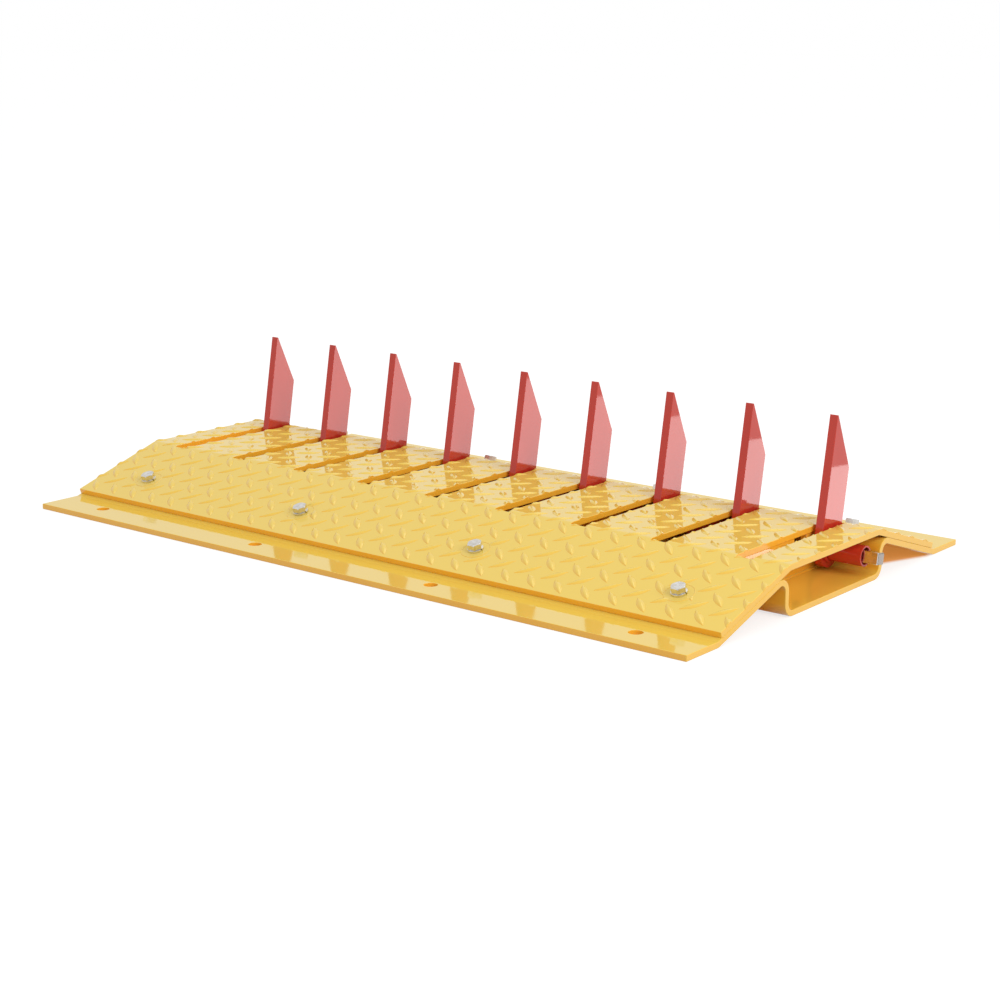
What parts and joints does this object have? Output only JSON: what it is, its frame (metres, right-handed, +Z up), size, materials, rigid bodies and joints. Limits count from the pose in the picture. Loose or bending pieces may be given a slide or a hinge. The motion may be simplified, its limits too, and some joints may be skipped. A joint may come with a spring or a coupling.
{
  "type": "tyre spike strip",
  "caption": "Road spike strip: bent base plate with ramps and trough, bolted tread-plate cover with slots, and sprung spikes on a shared shaft that fold down one way.",
  "frame": {"origin": "on the ground, under the middle of the trough's floor and halfway along the strip", "axes": "+X along the strip towards the coupling bar, -Y the side that the spikes fold towards, +Z up"},
  "size_m": [0.9282, 0.5334, 0.1695],
  "materials": {
    "yellow_paint": "glossy yellow powder coat over plain and tread plate",
    "red_paint": "glossy red powder coat",
    "bright_zinc": "bright zinc plate",
    "bare_steel": "pale zinc-rich primer on steel",
    "bronze": "oiled sintered bronze",
    "spring_steel": "oiled spring wire",
    "black_oxide": "black oxide"
  },
  "bodies": {
    "base": {"base_plate": "yellow_paint", "cover_plate": "yellow_paint", "front_cover_bolts": "bright_zinc", "rear_cover_bolts": "bright_zinc", "front_lock_washers": "bright_zinc", "rear_lock_washers": "bright_zinc", "front_weld_nuts": "bare_steel", "rear_weld_nuts": "bare_steel", "bearing_plate_1": "yellow_paint", "bearing_plate_2": "yellow_paint", "bearing_plate_3": "yellow_paint", "bearing_plate_4": "yellow_paint", "bushing_1": "bronze", "bushing_2": "bronze", "bushing_3": "bronze", "bushing_4": "bronze", "spring_left": "spring_steel", "spring_right": "spring_steel"},
    "spike_shaft": {"shaft_tube": "red_paint", "coupling_bar": "bright_zinc", "coupling_pin": "bright_zinc", "spike_1": "red_paint", "spike_2": "red_paint", "spike_3": "red_paint", "spike_4": "red_paint", "spike_5": "red_paint", "spike_6": "red_paint", "spike_7": "red_paint", "spike_8": "red_paint", "spike_9": "red_paint", "collar_left": "bright_zinc", "collar_right": "bright_zinc", "collar_set_screws": "black_oxide"}
  },
  "joints": [
    {"name": "spike_fold", "type": "hinge", "parent": "base", "child": "spike_shaft", "pos_m": [0, 0.068, 0.028], "axis": [1, 0, 0], "range_deg": [0, 100], "stiffness_Nm_per_rad": 7.9, "springref_deg": -14.32, "deforming": ["spring_left", "spring_right"]}
  ]
}
